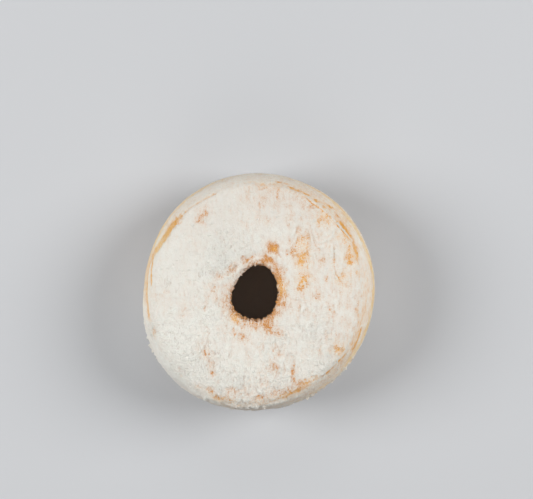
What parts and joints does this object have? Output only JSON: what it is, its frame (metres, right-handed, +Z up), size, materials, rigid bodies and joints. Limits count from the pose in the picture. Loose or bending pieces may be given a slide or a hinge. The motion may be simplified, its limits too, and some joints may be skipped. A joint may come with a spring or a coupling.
{
  "type": "sugared doughnut",
  "caption": "Prepared food: a ring doughnut with a flat pressed face, a rounded flank and a narrow hole that flares underneath, dusted all over with white sugar.",
  "frame": {"origin": "middle of the footprint, on the flat ring that the doughnut rests on", "axes": "+Z up, through the hole and out of the flat face; +X and +Y across the face, with the hole's narrow end towards +Y"},
  "size_m": [0.0848, 0.0862, 0.0324],
  "materials": {
    "sugared_crust": "matt white sugar dust over pale golden fried crust"
  },
  "bodies": {
    "root": {"doughnut": "sugared_crust"}
  },
  "joints": []
}
